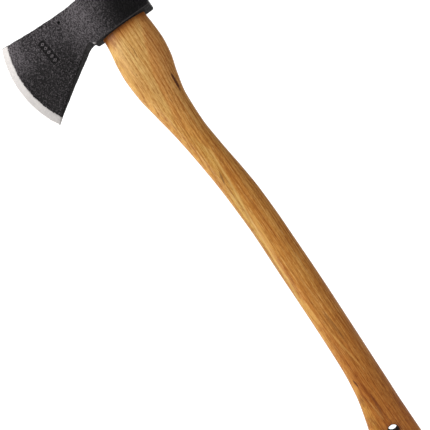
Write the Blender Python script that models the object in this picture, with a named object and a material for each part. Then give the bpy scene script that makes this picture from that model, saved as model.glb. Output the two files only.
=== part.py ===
"""Camp hatchet: a forged bearded head on a curved hickory handle, held by a wooden and a steel wedge.

Frame: +Z runs up the handle to the head along the middle of the eye, -X is the cutting edge,
+X the poll, Y is the thickness. The origin is on the flat butt of the handle, under the eye.
Sizes below are in millimetres; meshes are written in metres.
"""

import math

import bmesh
import bpy
from mathutils import Vector

MM = 0.001
GAP = 0.3                    # clearance kept between neighbouring pieces

# ---- head -----------------------------------------------------------------------------------
POLL_X = 31.0                # flat back of the head
EYE_TOP_Z = 501.5            # top face of the head around the eye
EYE_BOTTOM_Z = 460.6         # underside of the head around the eye
EYE_HALF_THICKNESS = 15.2    # outside of the eye walls
TOE = (-102.8, 507.5)        # upper end of the cutting edge, x and z
HEEL = (-97.2, 421.4)        # lower end of the cutting edge
EDGE_BOW = 10.8              # how far the cutting edge bows out from the toe-heel line
EDGE_HALF_LAND = 0.15        # half thickness left on the cutting edge
GRIND_HALF = 2.6             # half thickness of the blade where the ground bevel starts
CORNER_RADIUS = 1.6          # rounding along the long edges of the forging
HEAD_ROWS = 12               # mesh rows between the top and the underside

# One station per row: top x, top z, bottom x, bottom z, bow, half thickness.
# The first four round over the poll, and the step at x = -29 is the lug under the eye.
HEAD_STATIONS = (
    (POLL_X, EYE_TOP_Z - 1.5, POLL_X, EYE_BOTTOM_Z + 1.5, 0.0, EYE_HALF_THICKNESS - 2.8),
    (POLL_X - 0.5, EYE_TOP_Z - 0.6, POLL_X - 0.5, EYE_BOTTOM_Z + 0.6, 0.0, EYE_HALF_THICKNESS - 1.4),
    (POLL_X - 1.8, EYE_TOP_Z - 0.1, POLL_X - 1.8, EYE_BOTTOM_Z + 0.1, 0.0, EYE_HALF_THICKNESS - 0.4),
    (POLL_X - 4.5, EYE_TOP_Z, POLL_X - 4.5, EYE_BOTTOM_Z, 0.0, EYE_HALF_THICKNESS - 0.1),
    (12.0, EYE_TOP_Z, 12.0, EYE_BOTTOM_Z, 0.0, EYE_HALF_THICKNESS),
    (0.0, EYE_TOP_Z, 0.0, EYE_BOTTOM_Z, 0.0, EYE_HALF_THICKNESS),
    (-10.0, EYE_TOP_Z, -10.0, EYE_BOTTOM_Z, 0.0, EYE_HALF_THICKNESS - 0.5),
    (-20.0, EYE_TOP_Z, -20.0, EYE_BOTTOM_Z, 0.0, EYE_HALF_THICKNESS - 1.7),
    (-29.0, EYE_TOP_Z, -28.8, EYE_BOTTOM_Z, 0.0, EYE_HALF_THICKNESS - 3.4),
    (-31.5, EYE_TOP_Z, -31.4, 463.7, 0.0, 11.2),
    (-36.0, EYE_TOP_Z + 0.1, -35.8, 462.6, 0.1, 10.2),
    (-45.0, 502.0, -44.0, 457.6, 0.5, 8.8),
    (-58.0, 502.9, -56.5, 449.5, 1.6, 7.2),
    (-71.0, 504.0, -69.0, 441.2, 3.4, 5.9),
    (-84.0, 505.4, -81.0, 433.0, 6.2, 4.5),
    (-95.4, 506.8, -91.0, 426.2, 9.7, GRIND_HALF),
    (TOE[0], TOE[1], HEEL[0], HEEL[1], EDGE_BOW, EDGE_HALF_LAND),
)

# ---- eye and handle -------------------------------------------------------------------------
TONGUE_TOP_Z = 506.0         # the handle stands 4 mm proud of the head
TONGUE_CHAMFER = 1.0
BUTT_ROUND = 2.5             # rounding around the butt face
RING_POINTS = 32             # points around a handle section
SECTION_POWER = 2.25         # superellipse exponent: a little fuller than an ellipse

# z, front x, back x, half thickness of the handle from the butt to the top of the tongue.
HANDLE_STATIONS = (
    (0.0, -28.0, 17.5, 9.6),
    (12.0, -28.3, 18.0, 9.8),
    (30.0, -24.7, 18.0, 10.0),
    (50.0, -19.2, 18.0, 10.0),
    (75.0, -13.5, 18.5, 10.0),
    (105.0, -10.5, 19.0, 10.2),
    (150.0, -9.5, 20.0, 10.3),
    (200.0, -9.0, 20.5, 10.3),
    (240.0, -8.5, 20.5, 10.2),
    (275.0, -9.5, 19.5, 10.0),
    (300.0, -11.0, 17.3, 9.8),
    (330.0, -14.0, 13.8, 9.8),
    (355.0, -17.3, 11.8, 10.0),
    (380.0, -21.8, 12.6, 10.6),
    (400.0, -25.2, 16.5, 11.2),
    (420.0, -26.3, 21.9, 11.4),
    (435.0, -25.2, 23.5, 11.2),
    (450.0, -22.9, 23.0, 10.6),
    (EYE_BOTTOM_Z, -22.1, 22.2, 10.1),
    (TONGUE_TOP_Z, -23.0, 23.0, 11.2),
)
HANDLE_ROWS = 64             # mesh rows along the handle

LANYARD_X = -2.0
LANYARD_Z = 33.0
LANYARD_RADIUS = 4.75        # 3/8 in hole
LANYARD_BREAK = 1.2          # edge broken around each mouth

# ---- wedges ---------------------------------------------------------------------------------
KERF_BOTTOM_Z = 466.0
KERF_HALF_WIDTH = 0.9
WEDGE_BOTTOM_Z = 471.0
WEDGE_TOP_HALF = 2.6         # half thickness of the wooden wedge at the top
WEDGE_TIP_HALF = 0.7
WEDGE_HALF_LENGTH = 22.0

STEEL_ANGLE = 38.0           # degrees from the X axis to the steel wedge's width
STEEL_HALF_WIDTH = 9.0
STEEL_DEPTH = 22.0
STEEL_TOP_HALF = 1.5
STEEL_TIP_HALF = 0.4
STEEL_BARB = 0.35            # height of the barbs on its faces
STEEL_PROUD = 0.6            # how far its head stands out of the wood


def clear_scene():
    for obj in list(bpy.data.objects):
        bpy.data.objects.remove(obj, do_unlink=True)


def make_collection(name):
    collection = bpy.data.collections.new(name)
    bpy.context.scene.collection.children.link(collection)
    return collection


def make_material(name, colour, roughness, metallic=0.0):
    material = bpy.data.materials.new(name)
    material.use_nodes = True
    shader = material.node_tree.nodes["Principled BSDF"]
    shader.inputs["Base Color"].default_value = (*colour, 1.0)
    shader.inputs["Roughness"].default_value = roughness
    shader.inputs["Metallic"].default_value = metallic
    material.diffuse_color = (*colour, 1.0)
    return material


def slopes(knots, values):
    """Slopes of a monotone cubic through the knots, so that it never overshoots a station."""
    steps = [b - a for a, b in zip(knots, knots[1:])]
    rates = [(b - a) / h for a, b, h in zip(values, values[1:], steps)]
    inner = []
    for before, after, h0, h1 in zip(rates, rates[1:], steps, steps[1:]):
        if before * after <= 0.0:
            inner.append(0.0)
            continue
        w0 = 2.0 * h1 + h0
        w1 = h1 + 2.0 * h0
        inner.append((w0 + w1) / (w0 / before + w1 / after))
    return [rates[0], *inner, rates[-1]]


def interpolate(knots, values, at):
    """Value at one place on that cubic."""
    tangents = slopes(knots, values)
    last = len(knots) - 2
    i = next((k for k in range(last) if at < knots[k + 1]), last)
    h = knots[i + 1] - knots[i]
    t = (at - knots[i]) / h
    rise = values[i + 1] - values[i]
    a = h * tangents[i] - rise
    b = rise - h * tangents[i + 1]
    return values[i] + t * rise + t * (1.0 - t) * (a * (1.0 - t) + b * t)


def mesh_object(name, bm, collection, material=None):
    bmesh.ops.recalc_face_normals(bm, faces=bm.faces)
    mesh = bpy.data.meshes.new(name)
    bm.to_mesh(mesh)
    bm.free()
    obj = bpy.data.objects.new(name, mesh)
    collection.objects.link(obj)
    if material:
        mesh.materials.append(material)
    mesh.shade_smooth()
    mesh.set_sharp_from_angle(angle=math.radians(32.0))
    return obj


def loft(name, rings, collection, material=None):
    """Skin rings of equal point count. Each ring runs down one side and back up the other."""
    bm = bmesh.new()
    rows = [[bm.verts.new(Vector(p) * MM) for p in ring] for ring in rings]
    count = len(rings[0])
    for lower, upper in zip(rows, rows[1:]):
        for i in range(count):
            j = (i + 1) % count
            bm.faces.new((lower[i], lower[j], upper[j], upper[i]))
    for row in (rows[0], rows[-1]):
        for i in range(count // 2 - 1):
            bm.faces.new((row[i], row[i + 1], row[count - 2 - i], row[count - 1 - i]))
    return mesh_object(name, bm, collection, material)


def cut(target, cutter):
    """Boolean difference that stays on the object as a modifier."""
    modifier = target.modifiers.new("cut_" + cutter.name, "BOOLEAN")
    modifier.operation = "DIFFERENCE"
    modifier.solver = "EXACT"
    modifier.object = cutter
    cutter.hide_render = True
    cutter.display_type = "WIRE"


# ---- head -----------------------------------------------------------------------------------
def bowed_point(top, bottom, bow, t):
    """Point on the circular arc from top to bottom that bows out by `bow` towards -X."""
    chord = (bottom - top).length
    outward = Vector((-1.0, 0.0, 0.0))
    point = top.lerp(bottom, t)
    if bow < 1e-6:
        return point
    along = (bottom - top).normalized()
    outward = (outward - along * outward.dot(along)).normalized()
    radius = (chord * chord / 4.0 + bow * bow) / (2.0 * bow)
    offset = math.sqrt(radius * radius - (chord * (t - 0.5)) ** 2) - (radius - bow)
    return point + outward * offset


def head_ring(station):
    top_x, top_z, bottom_x, bottom_z, bow, half = station
    top = Vector((top_x, 0.0, top_z))
    bottom = Vector((bottom_x, 0.0, bottom_z))
    height = (bottom - top).length
    radius = min(CORNER_RADIUS, 0.6 * half)
    corner = [(radius * (1.0 - math.cos(a)), radius * (1.0 - math.sin(a)))
              for a in (math.radians(d) for d in (0.0, 30.0, 60.0, 90.0))]
    # Each pair is the distance from the end of the row and the half thickness there.
    upper = [(down, half - inset) for inset, down in corner][::-1]
    middle = [(radius + (height - 2.0 * radius) * k / HEAD_ROWS, half) for k in range(1, HEAD_ROWS)]
    lower = [(height - down, half - inset) for inset, down in corner]
    side = []
    for distance, y in upper + middle + lower:
        point = bowed_point(top, bottom, bow, distance / height)
        side.append((point.x, y, point.z))
    return [(x, -y, z) for x, y, z in side] + side[::-1]


def make_head(parts, cutters, material):
    knots = list(range(len(HEAD_STATIONS)))
    columns = list(zip(*HEAD_STATIONS))
    places = sorted(knots + [k + 0.5 for k in knots[3:-2]])    # the rounding and the grind stay single steps
    rings = [head_ring([interpolate(knots, column, at) for column in columns]) for at in places]
    head = loft("axe_head", rings, parts, material)

    eye_rings = []
    for z in (EYE_BOTTOM_Z - 6.0, EYE_BOTTOM_Z, EYE_TOP_Z, EYE_TOP_Z + 6.0):
        front, back, half = handle_size(z if z > EYE_BOTTOM_Z else EYE_BOTTOM_Z)
        eye_rings.append(oval(z, front - GAP, back + GAP, half + GAP))
    cut(head, loft("eye_cutter", eye_rings, cutters))
    return head


# ---- handle ---------------------------------------------------------------------------------
def oval(z, front, back, half):
    """Superellipse in the plane z, run down one side (-Y) and back up the other."""
    middle = (front + back) / 2.0
    reach = (back - front) / 2.0
    power = 2.0 / SECTION_POWER
    points = []
    for k in range(RING_POINTS):
        angle = math.pi * (2.0 * k + 1.0) / RING_POINTS
        c, s = math.cos(angle), math.sin(angle)
        x = middle - reach * math.copysign(abs(c) ** power, c)
        y = -half * math.copysign(abs(s) ** power, s)
        points.append((x, y, z))
    return points


def handle_size(z):
    """Front x, back x and half thickness of the handle at height z."""
    heights, *columns = zip(*HANDLE_STATIONS)
    return [interpolate(heights, column, z) for column in columns]


def make_handle(parts, cutters, material):
    rounding = [(BUTT_ROUND * (1.0 - math.cos(a)), BUTT_ROUND * (1.0 - math.sin(a)))
                for a in (math.radians(d) for d in (0.0, 22.5, 45.0, 67.5, 90.0))]
    levels = [(height, inset) for height, inset in rounding]
    span = TONGUE_TOP_Z - TONGUE_CHAMFER - BUTT_ROUND
    levels += [(BUTT_ROUND + span * k / HANDLE_ROWS, 0.0) for k in range(1, HANDLE_ROWS + 1)]
    levels.append((TONGUE_TOP_Z, TONGUE_CHAMFER))
    rings = []
    for z, inset in levels:
        front, back, half = handle_size(z)
        rings.append(oval(z, front + inset, back - inset, half - inset))
    handle = loft("handle", rings, parts, material)
    cut(handle, make_lanyard_cutter(cutters))
    cut(handle, make_kerf_cutter(cutters))
    return handle


def make_lanyard_cutter(cutters):
    """Turned cutter along Y that drills the hole and breaks its two mouths."""
    half = handle_size(LANYARD_Z)[2]
    mouth = half + 1.0
    wide = LANYARD_RADIUS + LANYARD_BREAK + 1.0
    profile = [(0.0, mouth), (wide, mouth), (LANYARD_RADIUS, half - LANYARD_BREAK),
               (LANYARD_RADIUS, LANYARD_BREAK - half), (wide, -mouth), (0.0, -mouth)]
    bm = bmesh.new()
    verts = [bm.verts.new(Vector((r, y, 0.0)) * MM) for r, y in profile]
    edges = [bm.edges.new(pair) for pair in zip(verts, verts[1:])]
    bmesh.ops.spin(bm, geom=verts + edges, cent=(0.0, 0.0, 0.0), axis=(0.0, 1.0, 0.0),
                   angle=math.tau, steps=32)
    bmesh.ops.remove_doubles(bm, verts=bm.verts, dist=0.0001 * MM)
    cutter = mesh_object("lanyard_cutter", bm, cutters)
    cutter.location = Vector((LANYARD_X, 0.0, LANYARD_Z)) * MM
    return cutter


# ---- wedges ---------------------------------------------------------------------------------
def prism(name, outline, half_length, collection, material=None):
    """Outline of (y, z) points pushed out along X by half_length each way."""
    bm = bmesh.new()
    near = [bm.verts.new(Vector((-half_length, y, z)) * MM) for y, z in outline]
    face = bm.faces.new(near)
    grown = bmesh.ops.extrude_face_region(bm, geom=[face])["geom"]
    moved = [item for item in grown if isinstance(item, bmesh.types.BMVert)]
    bmesh.ops.translate(bm, verts=moved, vec=Vector((2.0 * half_length, 0.0, 0.0)) * MM)
    return mesh_object(name, bm, collection, material)


def wedge_half(z):
    """Half thickness of the wooden wedge at height z."""
    t = (z - WEDGE_BOTTOM_Z) / (TONGUE_TOP_Z - WEDGE_BOTTOM_Z)
    return WEDGE_TIP_HALF + (WEDGE_TOP_HALF - WEDGE_TIP_HALF) * t


def make_kerf_cutter(cutters):
    """Saw kerf across the tongue, opened to a V where the wedge has been driven in."""
    over = TONGUE_TOP_Z + 4.0
    tip = WEDGE_BOTTOM_Z - GAP
    right = [(KERF_HALF_WIDTH, KERF_BOTTOM_Z), (KERF_HALF_WIDTH, tip),
             (wedge_half(WEDGE_BOTTOM_Z) + GAP, tip + GAP), (wedge_half(over) + GAP, over)]
    outline = right + [(-y, z) for y, z in reversed(right)]
    return prism("kerf_cutter", outline, 40.0, cutters)


def make_eye_wedge(parts, material):
    right = [(wedge_half(WEDGE_BOTTOM_Z), WEDGE_BOTTOM_Z), (wedge_half(TONGUE_TOP_Z), TONGUE_TOP_Z)]
    outline = right + [(-y, z) for y, z in reversed(right)]
    return prism("eye_wedge", outline, WEDGE_HALF_LENGTH, parts, material)


def make_steel_wedge(parts, material):
    """Barbed steel wedge: steps on both faces that hold it in the wood."""
    top = TONGUE_TOP_Z + STEEL_PROUD
    steps = 3
    right = [(STEEL_TIP_HALF, top - STEEL_DEPTH)]
    for k in range(1, steps + 1):
        z = top - STEEL_DEPTH + (STEEL_DEPTH - 4.0) * k / steps
        half = STEEL_TIP_HALF + (STEEL_TOP_HALF - STEEL_TIP_HALF) * k / steps
        right += [(half, z), (half - STEEL_BARB, z + 0.4)]
    right += [(STEEL_TOP_HALF, top - 2.4), (STEEL_TOP_HALF, top)]
    outline = right + [(-y, z) for y, z in reversed(right)]
    wedge = prism("steel_wedge", outline, STEEL_HALF_WIDTH, parts, material)
    wedge.rotation_euler.z = math.radians(STEEL_ANGLE)
    return wedge


def make_steel_cutter(cutters):
    """Split that the steel wedge has opened in the wood, with clearance all round."""
    over = TONGUE_TOP_Z + 4.0
    tip = TONGUE_TOP_Z + STEEL_PROUD - STEEL_DEPTH - GAP
    right = [(STEEL_TIP_HALF + GAP, tip), (STEEL_TOP_HALF + GAP, TONGUE_TOP_Z - 3.0),
             (STEEL_TOP_HALF + GAP, over)]
    outline = right + [(-y, z) for y, z in reversed(right)]
    cutter = prism("steel_cutter", outline, STEEL_HALF_WIDTH + GAP, cutters)
    cutter.rotation_euler.z = math.radians(STEEL_ANGLE)
    return cutter


def main():
    clear_scene()
    parts = make_collection("hatchet")
    cutters = make_collection("hatchet_cutters")

    coated_steel = make_material("coated_steel", (0.030, 0.028, 0.030), 0.5, 0.6)
    hickory = make_material("hickory", (0.52, 0.28, 0.10), 0.4)
    wedge_wood = make_material("wedge_wood", (0.40, 0.24, 0.11), 0.6)
    bare_steel = make_material("bare_steel", (0.45, 0.44, 0.42), 0.4, 1.0)

    make_head(parts, cutters, coated_steel)
    handle = make_handle(parts, cutters, hickory)
    eye_wedge = make_eye_wedge(parts, wedge_wood)
    make_steel_wedge(parts, bare_steel)
    steel_cutter = make_steel_cutter(cutters)
    cut(handle, steel_cutter)
    cut(eye_wedge, steel_cutter)


main()
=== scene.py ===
"""Looks of the camp hatchet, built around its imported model.

Frame: +Z up the handle, -X the cutting edge, +X the poll, Y the thickness, origin on the butt.
Tables and sizes are in millimetres, and meshes are written in metres.
"""
import math

import bmesh
import bpy
import numpy as np
from mathutils import Matrix, Vector


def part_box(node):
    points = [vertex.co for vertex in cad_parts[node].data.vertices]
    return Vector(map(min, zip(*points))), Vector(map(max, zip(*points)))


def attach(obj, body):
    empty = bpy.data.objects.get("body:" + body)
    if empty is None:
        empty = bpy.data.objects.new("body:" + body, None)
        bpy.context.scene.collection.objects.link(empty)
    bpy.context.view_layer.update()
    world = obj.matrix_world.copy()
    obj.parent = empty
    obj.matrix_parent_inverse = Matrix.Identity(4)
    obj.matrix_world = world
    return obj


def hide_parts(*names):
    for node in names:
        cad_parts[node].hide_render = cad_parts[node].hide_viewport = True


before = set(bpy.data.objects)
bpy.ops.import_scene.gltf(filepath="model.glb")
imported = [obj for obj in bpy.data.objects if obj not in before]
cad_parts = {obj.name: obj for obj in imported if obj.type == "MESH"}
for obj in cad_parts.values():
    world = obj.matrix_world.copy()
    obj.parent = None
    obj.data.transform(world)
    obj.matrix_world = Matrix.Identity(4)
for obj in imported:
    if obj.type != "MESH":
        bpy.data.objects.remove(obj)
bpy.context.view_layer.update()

MM = 0.001
BODY = "root"

# ---- sizes shared with the CAD ----------------------------------------------------------------
HEAD_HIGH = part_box("axe_head")[1] / MM
HANDLE_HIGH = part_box("handle")[1] / MM
POLL_X = HEAD_HIGH.x
EYE_TOP_Z = 501.5
EYE_BOTTOM_Z = 460.6
EYE_HALF = HEAD_HIGH.y            # half thickness over the eye walls
GRIND_HALF = 2.6                  # half thickness where the ground bevel starts
EDGE_HALF = 0.12
CORNER_RADIUS = 1.6
GAP = 0.3                         # between the neighbours that are driven together
TONGUE_TOP_Z = HANDLE_HIGH.z
TONGUE_CHAMFER = 1.0
BUTT_ROUND = 2.5
SECTION_POWER = 2.25

# top x, top z, bottom x, bottom z, bow, half thickness
HEAD_STATIONS = (
    (POLL_X, EYE_TOP_Z - 1.5, POLL_X, EYE_BOTTOM_Z + 1.5, 0.0, EYE_HALF - 2.8),
    (POLL_X - 0.5, EYE_TOP_Z - 0.6, POLL_X - 0.5, EYE_BOTTOM_Z + 0.6, 0.0, EYE_HALF - 1.4),
    (POLL_X - 1.8, EYE_TOP_Z - 0.1, POLL_X - 1.8, EYE_BOTTOM_Z + 0.1, 0.0, EYE_HALF - 0.4),
    (POLL_X - 4.5, EYE_TOP_Z, POLL_X - 4.5, EYE_BOTTOM_Z, 0.0, EYE_HALF - 0.1),
    (12.0, EYE_TOP_Z, 12.0, EYE_BOTTOM_Z, 0.0, EYE_HALF),
    (0.0, EYE_TOP_Z, 0.0, EYE_BOTTOM_Z, 0.0, EYE_HALF),
    (-10.0, EYE_TOP_Z, -10.0, EYE_BOTTOM_Z, 0.0, EYE_HALF - 0.5),
    (-20.0, EYE_TOP_Z, -20.0, EYE_BOTTOM_Z, 0.0, EYE_HALF - 1.7),
    (-29.0, EYE_TOP_Z, -28.8, EYE_BOTTOM_Z, 0.0, EYE_HALF - 3.4),
    (-31.5, EYE_TOP_Z, -31.4, 463.7, 0.0, 11.2),
    (-36.0, EYE_TOP_Z + 0.1, -35.8, 462.6, 0.1, 10.2),
    (-45.0, 502.0, -44.0, 457.6, 0.5, 8.8),
    (-58.0, 502.9, -56.5, 449.5, 1.6, 7.2),
    (-71.0, 504.0, -69.0, 441.2, 3.4, 5.9),
    (-84.0, 505.4, -81.0, 433.0, 6.2, 4.5),
    (-95.4, 506.8, -91.0, 426.2, 9.7, GRIND_HALF),
)
EDGE_STATION = (-102.8, 507.5, -97.2, 421.4, 10.8, EDGE_HALF)
GROUND_WIDTH = 7.5                # from the grind line to the edge
HONED_WIDTH = 0.8                 # the fine bevel right at the edge
HONED_HALF = 0.5

# z, front x, back x, half thickness
HANDLE_STATIONS = (
    (0.0, -28.0, 17.5, 9.6),
    (12.0, -28.3, 18.0, 9.8),
    (30.0, -24.7, 18.0, 10.0),
    (50.0, -19.2, 18.0, 10.0),
    (75.0, -13.5, 18.5, 10.0),
    (105.0, -10.5, 19.0, 10.2),
    (150.0, -9.5, 20.0, 10.3),
    (200.0, -9.0, 20.5, 10.3),
    (240.0, -8.5, 20.5, 10.2),
    (275.0, -9.5, 19.5, 10.0),
    (300.0, -11.0, 17.3, 9.8),
    (330.0, -14.0, 13.8, 9.8),
    (355.0, -17.3, 11.8, 10.0),
    (380.0, -21.8, 12.6, 10.6),
    (400.0, -25.2, 16.5, 11.2),
    (420.0, -26.3, 21.9, 11.4),
    (435.0, -25.2, 23.5, 11.2),
    (450.0, -22.9, 23.0, 10.6),
    (EYE_BOTTOM_Z, -22.1, 22.2, 10.1),
    (TONGUE_TOP_Z, -23.0, 23.0, 11.2),
)
LANYARD_X, LANYARD_Z = -2.0, 33.0
LANYARD_RADIUS = 4.75
# y, z of one side of the kerf and of the steel wedge's pocket, from the bottom up past the tongue
KERF_SIDE = ((0.9, 466.0), (0.9, 470.7), (1.0, 471.0), (3.2, TONGUE_TOP_Z + 4.0))
KERF_HALF_LENGTH = 40.0
POCKET_SIDE = ((0.7, TONGUE_TOP_Z - 21.7), (1.8, TONGUE_TOP_Z - 3.0), (1.8, TONGUE_TOP_Z + 4.0))
POCKET_HALF_LENGTH = 9.3
POCKET_TURN = 38.0                # degrees from the kerf

# ---- details that only the looks have ---------------------------------------------------------
STAMP_X, STAMP_Z = -67.4, 479.3   # sunk panel on the -Y cheek
STAMP_LEAN = 5.0                  # degrees, its low end towards the poll
STAMP_HALF = (4.2, 12.2)
STAMP_DEPTH = 0.7
STAMP_DRAFT = 0.5                 # width of its sloping walls
LOZENGES = 5
LOZENGE_MARGIN = 1.2              # from the row's ends to the panel's
LOZENGE_REACH = 1.85              # from a lozenge's middle to its tips along the row
LOZENGE_HOLLOW = 0.75             # the same for the hollow in it
LOZENGE_WIDEN = 0.72              # below 1 makes it wider across the row than along it
LOZENGE_RISE = 0.85               # its height as a part of the panel's depth
RAIL_INSET = 0.95                 # the thin raised line inside the panel's walls
RAIL_RISE = 0.55                  # its height as a part of the lozenges'
PIT_X, PIT_Z, PIT_RADIUS, PIT_DEPTH = -45.0, 494.9, 1.6, 1.0
MOUTH_ROUND = 1.4                 # radius on both mouths of the lanyard hole

# height, size of the lumps and seed of each layer of unevenness
FORGED_LAYERS = ((0.14, 19.0, 1), (0.09, 8.0, 2))
CRINKLE_LAYERS = ((0.12, 2.5, 3), (0.05, 1.4, 4))
EYE_WEDGE_LAYER = (0.10, 1.5, 21)
STEEL_WEDGE_LAYER = (0.08, 2.0, 22)
# how far in the middle of the uneven surface lies, so that its lumps stay in the CAD's box
HEAD_INSET = 0.28
HANDLE_INSET = 0.11
WEDGE_INSET = 0.6                 # as a part of the layer's height
WEDGE_VOXEL = 0.4

HEAD_STEP = 0.70                  # spacing of the mesh along the head
STAMP_STEP = 0.34                 # and over the stamp
STAMP_REACH = 6.0                 # half the length along the head with that finer spacing
STAMP_ROWS = (0.19, 0.63)         # the finer stretch down the head, as parts of its height
OVAL_SIDES = 128
HOLE_SIDES = 64


# ---- numbers ----------------------------------------------------------------------------------
def monotone(knots, values, at):
    """Monotone cubic through the knots, read at many places."""
    x, y, at = (np.asarray(v, float) for v in (knots, values, at))
    step = np.diff(x)
    rate = np.diff(y) / step
    slope = np.zeros_like(y)
    slope[0], slope[-1] = rate[0], rate[-1]
    w0 = 2.0 * step[1:] + step[:-1]
    w1 = step[1:] + 2.0 * step[:-1]
    same = rate[:-1] * rate[1:] > 0.0
    safe0, safe1 = np.where(same, rate[:-1], 1.0), np.where(same, rate[1:], 1.0)
    slope[1:-1] = np.where(same, (w0 + w1) / (w0 / safe0 + w1 / safe1), 0.0)
    i = np.clip(np.searchsorted(x, at, side="right") - 1, 0, len(x) - 2)
    t = (at - x[i]) / step[i]
    rise = y[i + 1] - y[i]
    a = step[i] * slope[i] - rise
    b = rise - step[i] * slope[i + 1]
    return y[i] + t * rise + t * (1.0 - t) * (a * (1.0 - t) + b * t)


def value_noise(points, cell, seed):
    """Smooth noise from -1 to 1 with features about `cell` across."""
    q = np.asarray(points, float) / cell + 1000.0
    base = np.floor(q).astype(np.int64)
    f = q - base
    f = f * f * f * (f * (f * 6.0 - 15.0) + 10.0)
    total = np.zeros(len(q))
    for dx in (0, 1):
        for dy in (0, 1):
            for dz in (0, 1):
                h = (base[:, 0] + dx) * 374761393 + (base[:, 1] + dy) * 668265263
                h = h + (base[:, 2] + dz) * 1440662683 + seed * 974711
                h = (h ^ (h >> 13)) * 1274126177
                h = (h ^ (h >> 16)) & 0xFFFF
                weight = np.ones(len(q))
                for axis, d in enumerate((dx, dy, dz)):
                    weight = weight * (f[:, axis] if d else 1.0 - f[:, axis])
                total += weight * (h / 32767.5 - 1.0)
    return total


def layered_noise(points, layers):
    return sum(height * value_noise(points, cell, seed) for height, cell, seed in layers)


def smooth_step(low, high, value):
    t = np.clip((value - low) / (high - low), 0.0, 1.0)
    return t * t * (3.0 - 2.0 * t)


# ---- meshes -----------------------------------------------------------------------------------
def new_object(name, points_mm, faces):
    mesh = bpy.data.meshes.new(name)
    mesh.from_pydata((np.asarray(points_mm) * MM).tolist(), [], faces)
    mesh.update()
    mesh.shade_smooth()
    obj = bpy.data.objects.new(name, mesh)
    bpy.context.scene.collection.objects.link(obj)
    return obj


def face_out(obj):
    """Makes a closed mesh's faces point out."""
    bm = bmesh.new()
    bm.from_mesh(obj.data)
    bmesh.ops.recalc_face_normals(bm, faces=bm.faces)
    if bm.calc_volume(signed=True) < 0.0:
        bmesh.ops.reverse_faces(bm, faces=bm.faces)
    bm.to_mesh(obj.data)
    bm.free()
    return obj


def coordinates(mesh):
    points = np.empty(len(mesh.vertices) * 3, np.float32)
    mesh.vertices.foreach_get("co", points)
    return points.reshape(-1, 3).astype(float) / MM


def vertex_normals(mesh):
    normals = np.empty(len(mesh.vertices) * 3, np.float32)
    mesh.vertex_normals.foreach_get("vector", normals)
    return normals.reshape(-1, 3).astype(float)


def set_coordinates(mesh, points_mm):
    mesh.vertices.foreach_set("co", (points_mm * MM).astype(np.float32).ravel())
    mesh.update()


def bake_modifiers(obj):
    """Replaces the object's mesh with its evaluated one."""
    graph = bpy.context.evaluated_depsgraph_get()
    made = bpy.data.meshes.new_from_object(obj.evaluated_get(graph))
    old = obj.data
    obj.modifiers.clear()
    obj.data = made
    bpy.data.meshes.remove(old)
    return obj


def carve(obj, cutter):
    """Boolean difference, applied; the cutter is removed."""
    modifier = obj.modifiers.new("carve", "BOOLEAN")
    modifier.operation = "DIFFERENCE"
    modifier.solver = "MANIFOLD"
    modifier.object = cutter
    bake_modifiers(obj)
    bpy.data.objects.remove(cutter, do_unlink=True)


def float_attribute(mesh, name, values):
    layer = mesh.attributes.get(name) or mesh.attributes.new(name, "FLOAT", "POINT")
    layer.data.foreach_set("value", np.asarray(values, np.float32))


def skin(rings):
    """Quads between closed rings of equal point count."""
    count = len(rings[0])
    points = [p for ring in rings for p in ring]
    faces = []
    for r in range(len(rings) - 1):
        low, high = r * count, (r + 1) * count
        for i in range(count):
            j = (i + 1) % count
            faces.append((low + i, low + j, high + j, high + i))
    return points, faces


def place(piece, material, node):
    """Gives the finished piece its one material and its body, and hides the CAD piece that it stands
    for.
    """
    mesh = piece.data
    mesh.materials.clear()
    mesh.materials.append(material)
    mesh.polygons.foreach_set("material_index", np.zeros(len(mesh.polygons), np.int32))
    mesh.set_sharp_from_angle(angle=math.radians(50.0))
    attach(piece, BODY)
    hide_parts(node)


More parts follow.
